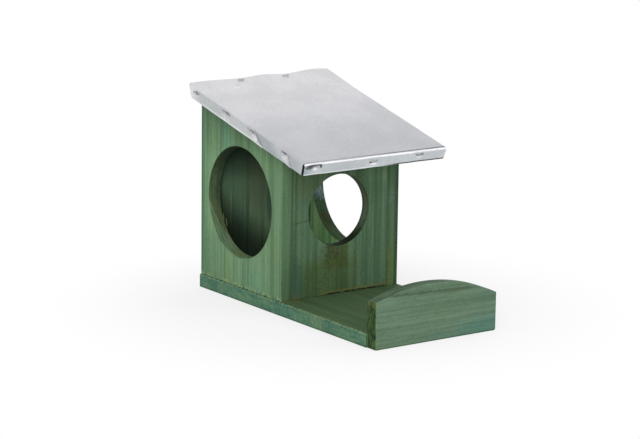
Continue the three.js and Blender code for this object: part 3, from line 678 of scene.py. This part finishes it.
def hem_marks(metal, along, drop, left, front):
    """Raw edges of the flanges, a painted reflection at the front bend, a bright band under a dark line, and
    painted shade in the open corner.
    """
    x = metal.x
    metal.cover(drop.ramp(8.6, 9.4) * left * along.ramp(10.0, 30.0) * along.fall(105.0, 125.0) * 0.55,
                paint(236, 240, 236))
    # Painted reflection at the front bend: a dark line on the top just behind it, then a bright band round
    # it.
    metal.cover(along.near(FLAT_END - 0.2, 1.1) * drop.fall(0.4, 1.0) * x.between(-68.0, 90.0, 2.0)
                * (0.5 + x.ramp(-40.0, 40.0) * 0.5), paint(70, 71, 76))
    bend = along.ramp(FLAT_END + 0.3, FLAT_END + 0.9) * drop.between(0.8, 1.7, 0.3)
    metal.cover(bend * 0.97, paint(254, 254, 254))
    metal.cover(drop.ramp(8.6, 9.2) * front * x.fall(-10.0, 10.0) * 0.8, paint(240, 243, 244))
    metal.cover(drop.ramp(8.7, 9.2) * front * x.ramp(5.0, 25.0) * 0.95, paint(52, 54, 58))
    # Painted shade in the open front-left corner, where the flanges don't meet.
    corner = along.ramp(FLAT_END - 0.5, FLAT_END) * x.fall(-70.6, -70.0) * drop.ramp(1.0, 1.6)
    metal.cover(corner, paint(24, 24, 26))


def staple_marks(metal, across, dark, pale, drop, side, spangle):
    """Marks where the staples were driven in: dark ones, partly dirt and partly painted shade of the staples
    and their dents, and pale ones, painted highlights on the dents.
    """
    broken = 0.55 + spangle.ramp(0.42, 0.55) * 0.45
    for marks, tone in ((pale, paint(250, 250, 251)), (dark, paint(58, 62, 68))):
        for at, down, wide, high, share in marks:
            metal.cover(oval(across, drop, at, down, wide, high) * side * broken * share, tone)


def wire(name, dark, pale):
    """Worn wire, paler round the place of the roof's rear right staple."""
    metal = Finish(name)
    wear = metal.noise(metal.place, 1.3, 3.0, 0.6)
    metal.colour = metal.mix(wear.ramp(0.4, 0.6), dark, pale)
    metal.cover(metal.x.near(22.5, 8.0) * metal.y.ramp(112.0, 114.0) * 0.8, paint(204, 205, 208))
    shader = metal.node("ShaderNodeBsdfPrincipled", sockets={
        "Base Color": metal.colour,
        "Metallic": 0.85,
        "Roughness": 0.3 + wear * 0.2,
    })
    return metal.finish(shader)


# Board meshes

AXES = {
    "x": lambda a, b, depth: (depth, a, b),
    "y": lambda a, b, depth: (a, depth, b),
    "z": lambda a, b, depth: (a, b, depth),
}


def inset(points, distance):
    """A closed outline moved into its material, which lies to the left of its run."""
    moved = []
    count = len(points)
    for index, (a, b) in enumerate(points):
        before = Vector(points[index - 1])
        after = Vector(points[(index + 1) % count])
        here = Vector((a, b))
        first = (here - before).normalized()
        second = (after - here).normalized()
        normal = Vector((-first.y - second.y, first.x + second.x)).normalized()
        reach = max(LEAST_REACH, normal.dot(Vector((-first.y, first.x))))
        moved.append(here + normal * (distance / reach))
    return [(point.x, point.y) for point in moved]


def board(name, axis, loops, low, high, finish, edge=EDGE):
    """A board with rounded edges. The first loop is its outline and the others are its holes."""
    stations = []
    for step in range(EDGE_STEPS + 1):
        turn = math.pi / 2 * step / EDGE_STEPS
        stations.append((low + edge * (1 - math.cos(turn)), edge * (1 - math.sin(turn))))
    stations += [(low + high - depth, inward) for depth, inward in reversed(stations)]
    mesh = bmesh.new()
    rings = []
    for depth, inward in stations:
        ring = []
        for loop in loops:
            points = inset(loop, inward)
            ring.append([mesh.verts.new(Vector(AXES[axis](a, b, depth)) * MM) for a, b in points])
        rings.append(ring)
    for lower, upper in zip(rings, rings[1:]):
        for first, second in zip(lower, upper):
            for index in range(len(first)):
                after = (index + 1) % len(first)
                mesh.faces.new((first[index], first[after], second[after], second[index]))
    for ring in (rings[0], rings[-1]):
        flat = [vert for loop in ring for vert in loop]
        for triangle in tessellate_polygon([[vert.co for vert in loop] for loop in ring]):
            mesh.faces.new([flat[corner] for corner in triangle])
    bmesh.ops.recalc_face_normals(mesh, faces=mesh.faces)
    return piece(name, mesh, finish, name)


def piece(name, mesh, finish, node):
    data = bpy.data.meshes.new(name)
    mesh.to_mesh(data)
    mesh.free()
    data.polygons.foreach_set("use_smooth", [True] * len(data.polygons))
    data.set_sharp_from_angle(angle=SHARP_ANGLE)
    made = bpy.data.objects.new("fine_" + name, data)
    bpy.context.scene.collection.objects.link(made)
    data.materials.append(finish)
    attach(made, "root")
    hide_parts(node)
    return made


def round_hole(hole):
    """A hole's outline runs clockwise, so its material lies to its left."""
    centre, height, radius = hole
    turns = (-2 * math.pi * step / HOLE_POINTS for step in range(HOLE_POINTS))
    return [(centre + radius * math.cos(turn), height + radius * math.sin(turn)) for turn in turns]


def panel_top(y):
    """Height of a panel's top, just under the roof board."""
    drop = BOARD_DROP + BOARD_THICKNESS + PANEL_GAP
    return ROOF_REAR_Z - (REAR - y) * math.tan(SLOPE) - drop / math.cos(SLOPE)


def side_panels():
    finish = side_wood()
    outline = [(BOX_FRONT, PANEL_FOOT), (REAR, PANEL_FOOT), (REAR, panel_top(REAR)),
               (BOX_FRONT, panel_top(BOX_FRONT))]
    loops = [outline, round_hole(SIDE_HOLE)]
    board("left_side_panel", "x", loops, -SIDE_OUT, -SIDE_IN, finish)
    board("right_side_panel", "x", loops, SIDE_IN, SIDE_OUT, finish)


def front_panel():
    top = panel_top(BOX_FRONT)
    foot = []
    for step in range(FOOT_STEPS + 1):
        x = -CROSS_HALF + 2 * CROSS_HALF * step / FOOT_STEPS
        ragged = smooth((x - FOOT_START) / FOOT_FADE) * smooth((CROSS_HALF - x) / FOOT_FADE)
        rise = ragged * (0.35 + 0.3 * math.sin(step * 2.3) + 0.2 * math.sin(step * 5.1))
        foot.append((x, PANEL_FOOT + max(0.0, rise)))
    loops = [foot + [(CROSS_HALF, top), (-CROSS_HALF, top)], round_hole(FRONT_HOLE)]
    board("front_panel", "y", loops, BOX_FRONT, FRONT_BACK, front_wood())


def rear_panel():
    top = panel_top(REAR_IN)
    outline = [(-CROSS_HALF, PANEL_FOOT), (CROSS_HALF, PANEL_FOOT), (CROSS_HALF, top), (-CROSS_HALF, top)]
    board("rear_panel", "y", [outline], REAR_IN, REAR, rear_wood())


def base_board():
    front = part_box("base_board")[0].y / MM
    outline = [(-BASE_HALF, front), (BASE_HALF, front), (BASE_HALF, REAR), (-BASE_HALF, REAR)]
    board("base_board", "z", [outline], 0.0, BASE_TOP, base_wood())


def lip_board():
    reach = LIP_CROWN_X + BASE_HALF
    rise = LIP_CROWN - LIP_LEFT
    radius = (reach ** 2 + rise ** 2) / (2 * rise)
    middle = LIP_CROWN - radius
    right = math.acos((BASE_HALF - LIP_CROWN_X) / radius)
    left = math.acos(-reach / radius)
    outline = []
    for corner, start in ((-1, math.pi), (1, 1.5 * math.pi)):
        for step in range(LIP_FOOT_STEPS + 1):
            turn = start + math.pi / 2 * step / LIP_FOOT_STEPS
            outline.append((corner * (BASE_HALF - LIP_FOOT_RADIUS) + LIP_FOOT_RADIUS * math.cos(turn),
                            LIP_FOOT_RADIUS + LIP_FOOT_RADIUS * math.sin(turn)))
    for step in range(LIP_POINTS + 1):
        turn = right + (left - right) * step / LIP_POINTS
        outline.append((LIP_CROWN_X + radius * math.cos(turn), middle + radius * math.sin(turn)))
    board("lip_board", "y", [outline], FRONT, LIP_BACK, lip_wood(), LIP_EDGE)


# Folded sheet

def pressed(at, drop, places, drops):
    """How far the nearest staple has pressed a flange in."""
    distance, staple_drop = min((abs(at - place), low) for place, low in zip(places, drops))
    press = DENT * smooth((DENT_REACH - distance) / (DENT_REACH - DENT_FLAT))
    return press * (DENT_LEAST + (1 - DENT_LEAST) * smooth(1 - abs(drop - staple_drop) / DENT_FADE))


def fold_stations():
    """Round the bend and down the flange: past the flat's edge, down, lean and flange share."""
    stations = []
    for step in range(1, FOLD_STEPS + 1):
        lean = math.pi / 2 * step / FOLD_STEPS
        stations.append((FOLD_RADIUS * math.sin(lean), FOLD_RADIUS * (1 - math.cos(lean)), lean, 0.0))
    for step in range(1, FLANGE_STEPS + 1):
        stations.append((FOLD_RADIUS, FOLD_RADIUS, math.pi / 2, step / FLANGE_STEPS))
    return stations


def stops(start, end):
    count = math.ceil((end - start) / SHEET_STEP)
    return [start + (end - start) * step / count for step in range(count + 1)]


def rear_bulge(x, along):
    rise = 0.0
    for at, height, reach in BULGES:
        rise += height * smooth(1 - abs(x / (ROOF_WIDTH / 2) - at) / reach)
    return REAR_LIFT * rise * smooth(1 - along / REAR_LIFT_FADE)


def crease_skew(along):
    """How far a row moves forwards on its way down the left flange, to follow a crease."""
    skew = 0.0
    for start, top, bottom in CREASES:
        foot = top + CREASE_STEP
        end = min(foot + CREASE_FADE, FLAT_END)
        skew += (bottom - top) * clamped(min((along - start) / (top - start), (end - along) / (end - foot)))
    return skew


def crease_rise(along):
    rise = 0.0
    for start, top, _ in CREASES:
        near = min((along - start) / (top - start), (top + CREASE_STEP - along) / CREASE_STEP)
        rise += CREASE_HEIGHT * clamped(near)
    return rise


def sheet_rows():
    creased = [top + CREASE_STEP * part for _, top, _ in CREASES for part in (0, 0.5, 1)]
    plain = [row for row in stops(0.0, FLAT_END) if min(abs(row - place) for place in creased) > ROW_SPACE]
    return sorted(plain + creased)


def sheet_point(column, row, depth):
    x, x_down, x_lean, x_share, side, _ = column
    along, y_down, y_lean, y_share, y_flat = row
    if not y_flat:
        taper = FRONT_FLANGE_TAPER * y_share if x > 0 else 0.0
        place = x * (FLAT_HALF + FRONT_FLANGE_REACH * math.sin(y_lean) - taper) / FLAT_HALF
        drop = y_down + (FRONT_FLANGE - FOLD_RADIUS) * y_share
        press = pressed(place, drop, FRONT_STAPLES, FRONT_DROPS) * math.sin(y_lean)
        return Vector((place, press + depth * math.sin(y_lean) - along, -drop - depth * math.cos(y_lean)))
    creased = x_share if side < 0 else 0.0
    place = along + crease_skew(along) * creased
    height = SIDE_FLANGE_REAR + (SIDE_FLANGE_FRONT - SIDE_FLANGE_REAR) * place / ROOF_LENGTH
    drop = x_down + (height - FOLD_RADIUS) * x_share
    press = pressed(place, drop, SIDE_STAPLES, SIDE_DROPS) * math.sin(x_lean)
    press -= crease_rise(along) * smooth(creased / CREASE_FULL)
    below = drop + depth * math.cos(x_lean)
    fade = max(0.0, 1 - place / REAR_SNIP_FADE)
    return Vector((
        x - side * (press + depth * math.sin(x_lean)),
        (-below * math.tan(SLOPE) - REAR_SNIP * x_share) * fade - place,
        rear_bulge(x, along) - below,
    ))


def roof_place():
    return Matrix.Translation((0, REAR * MM, ROOF_REAR_Z * MM)) @ Matrix.Rotation(SLOPE, 4, "X")


def roof_sheet():
    folds = fold_stations()
    flat_columns = [(x, 0.0, 0.0, 0.0, 0, True) for x in stops(-FLAT_HALF, FLAT_HALF)]
    left = [(-FLAT_HALF - past, down, lean, share, -1, False) for past, down, lean, share in folds]
    right = [(FLAT_HALF + past, down, lean, share, 1, False) for past, down, lean, share in folds]
    columns = left[::-1] + flat_columns + right
    rows = [(along, 0.0, 0.0, 0.0, True) for along in sheet_rows()]
    rows += [(FLAT_END + past, down, lean, share, False) for past, down, lean, share in folds]

    def used(i, j):
        inside = 0 <= i < len(columns) - 1 and 0 <= j < len(rows) - 1
        if not inside:
            return False
        row_flat = rows[j][4] and rows[j + 1][4]
        column_flat = columns[i][5] and columns[i + 1][5]
        return row_flat or column_flat

    mesh = bmesh.new()
    place = roof_place()
    corners = {}

    def corner(i, j, layer):
        if (i, j, layer) not in corners:
            point = sheet_point(columns[i], rows[j], layer * SHEET) * MM
            corners[i, j, layer] = mesh.verts.new(place @ point)
        return corners[i, j, layer]

    ways = ((0, 0), (0, 1), (1, 1), (1, 0))
    for i in range(len(columns) - 1):
        for j in range(len(rows) - 1):
            if not used(i, j):
                continue
            outer = [corner(i + di, j + dj, 0) for di, dj in ways]
            inner = [corner(i + di, j + dj, 1) for di, dj in ways]
            mesh.faces.new(outer)
            mesh.faces.new(inner[::-1])
            for turn, (ni, nj) in enumerate(((i - 1, j), (i, j + 1), (i + 1, j), (i, j - 1))):
                if not used(ni, nj):
                    after = (turn + 1) % len(ways)
                    mesh.faces.new((outer[turn], inner[turn], inner[after], outer[after]))
    bmesh.ops.recalc_face_normals(mesh, faces=mesh.faces)
    return piece("roof_sheet", mesh, galvanised(), "roof_sheet")


# Pieces that keep the frame's own shape

def kept_pieces():
    roof_finish = roof_wood()
    staple_finish = wire("staple_wire", paint(150, 151, 154), paint(212, 213, 216))
    brad_finish = wire("brad_wire", paint(110, 111, 113), paint(168, 169, 171))
    for name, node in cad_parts.items():
        finish = None
        if name == "roof_board":
            finish = roof_finish
        elif "staple" in name:
            finish = staple_finish
        elif "brad" in name:
            finish = brad_finish
        if finish:
            node.data.materials.clear()
            node.data.materials.append(finish)
            rounding = node.modifiers.new("rounding", "BEVEL")
            rounding.width = (BOARD_ROUNDING if name == "roof_board" else WIRE_ROUNDING) * MM
            rounding.segments = ROUNDING_SEGMENTS
            rounding.limit_method = "ANGLE"


# Stage

def seen_rays(nodes):
    """1 for what the camera sees, straight or in metal, and 0 for light that falls on the part."""
    seen, mirrored, through = [nodes.node("ShaderNodeLightPath", output=ray)
                               for ray in ("Is Camera Ray", "Is Glossy Ray", "Is Transmission Ray")]
    return seen.most(mirrored).most(through)


def floor():
    data = bpy.data.meshes.new("floor")
    size = 6.0
    height = -0.05 * MM
    corners = [(a * size, b * size, height) for a, b in ((-1, -1), (1, -1), (1, 1), (-1, 1))]
    data.from_pydata(corners, [], [(0, 1, 2, 3)])
    made = bpy.data.objects.new("floor", data)
    bpy.context.scene.collection.objects.link(made)
    stage = Finish("floor")
    far = (stage.x ** 2 + stage.y ** 2) ** 0.5
    plain = stage.node("ShaderNodeBsdfDiffuse", sockets={"Color": (0.9, 0.9, 0.9, 1)})
    white = stage.node("ShaderNodeEmission", sockets={"Color": (1, 1, 1, 1), "Strength": 1.0})
    # White beyond the part, and nearly so beside it, where a share of its soft shadow shows
    seen = seen_rays(stage) * (0.72 + far.ramp(110.0, 260.0) * 0.28)
    shader = stage.node("ShaderNodeMixShader", sockets={0: seen, 1: plain, 2: white})
    data.materials.append(stage.finish(shader))


def lamp(name, place, size, power):
    """A square lamp, with its place and size in metres and its power in watts."""
    data = bpy.data.lights.new(name, "AREA")
    data.shape = "SQUARE"
    data.size = size
    data.energy = power
    made = bpy.data.objects.new(name, data)
    made.location = place
    made.rotation_euler = (Vector(LAMP_AIM) - Vector(place)).to_track_quat("-Z", "Y").to_euler()
    bpy.context.scene.collection.objects.link(made)


def studio():
    lamp("key_lamp", (-1.5, -1.6, 1.2), 1.1, 22)
    lamp("bend_lamp", (1.2, -1.3, 1.2), 0.6, 5)
    world = bpy.data.worlds.new("studio")
    bpy.context.scene.world = world
    world.use_nodes = True
    sky = Nodes(world.node_tree)
    soft = sky.node("ShaderNodeBackground", sockets={"Color": (1, 1, 1, 1), "Strength": 0.7})
    white = sky.node("ShaderNodeBackground", sockets={"Color": (1, 1, 1, 1), "Strength": 1.0})
    sky.node("ShaderNodeOutputWorld", sockets={
        0: sky.node("ShaderNodeMixShader", sockets={0: seen_rays(sky), 1: soft, 2: white}),
    })


def camera():
    forward = Vector((math.sin(CAMERA_YAW) * math.cos(CAMERA_PITCH),
                      math.cos(CAMERA_YAW) * math.cos(CAMERA_PITCH), -math.sin(CAMERA_PITCH)))
    level = Vector((math.cos(CAMERA_YAW), -math.sin(CAMERA_YAW), 0))
    upright = level.cross(forward)
    right = level * math.cos(CAMERA_ROLL) + upright * math.sin(CAMERA_ROLL)
    up = upright * math.cos(CAMERA_ROLL) - level * math.sin(CAMERA_ROLL)
    data = bpy.data.cameras.new("camera")
    data.lens = CAMERA_LENS
    data.sensor_width = CAMERA_SENSOR
    made = bpy.data.objects.new("camera", data)
    turn = Matrix((right, up, -forward)).transposed().to_4x4()
    made.matrix_world = Matrix.Translation(Vector(CAMERA_PLACE) * MM) @ turn
    bpy.context.scene.collection.objects.link(made)
    bpy.context.scene.camera = made


bpy.context.scene.view_settings.view_transform = "Standard"
camera()
studio()
floor()
base_board()
lip_board()
side_panels()
front_panel()
rear_panel()
roof_sheet()
kept_pieces()

bpy.context.view_layer.update()
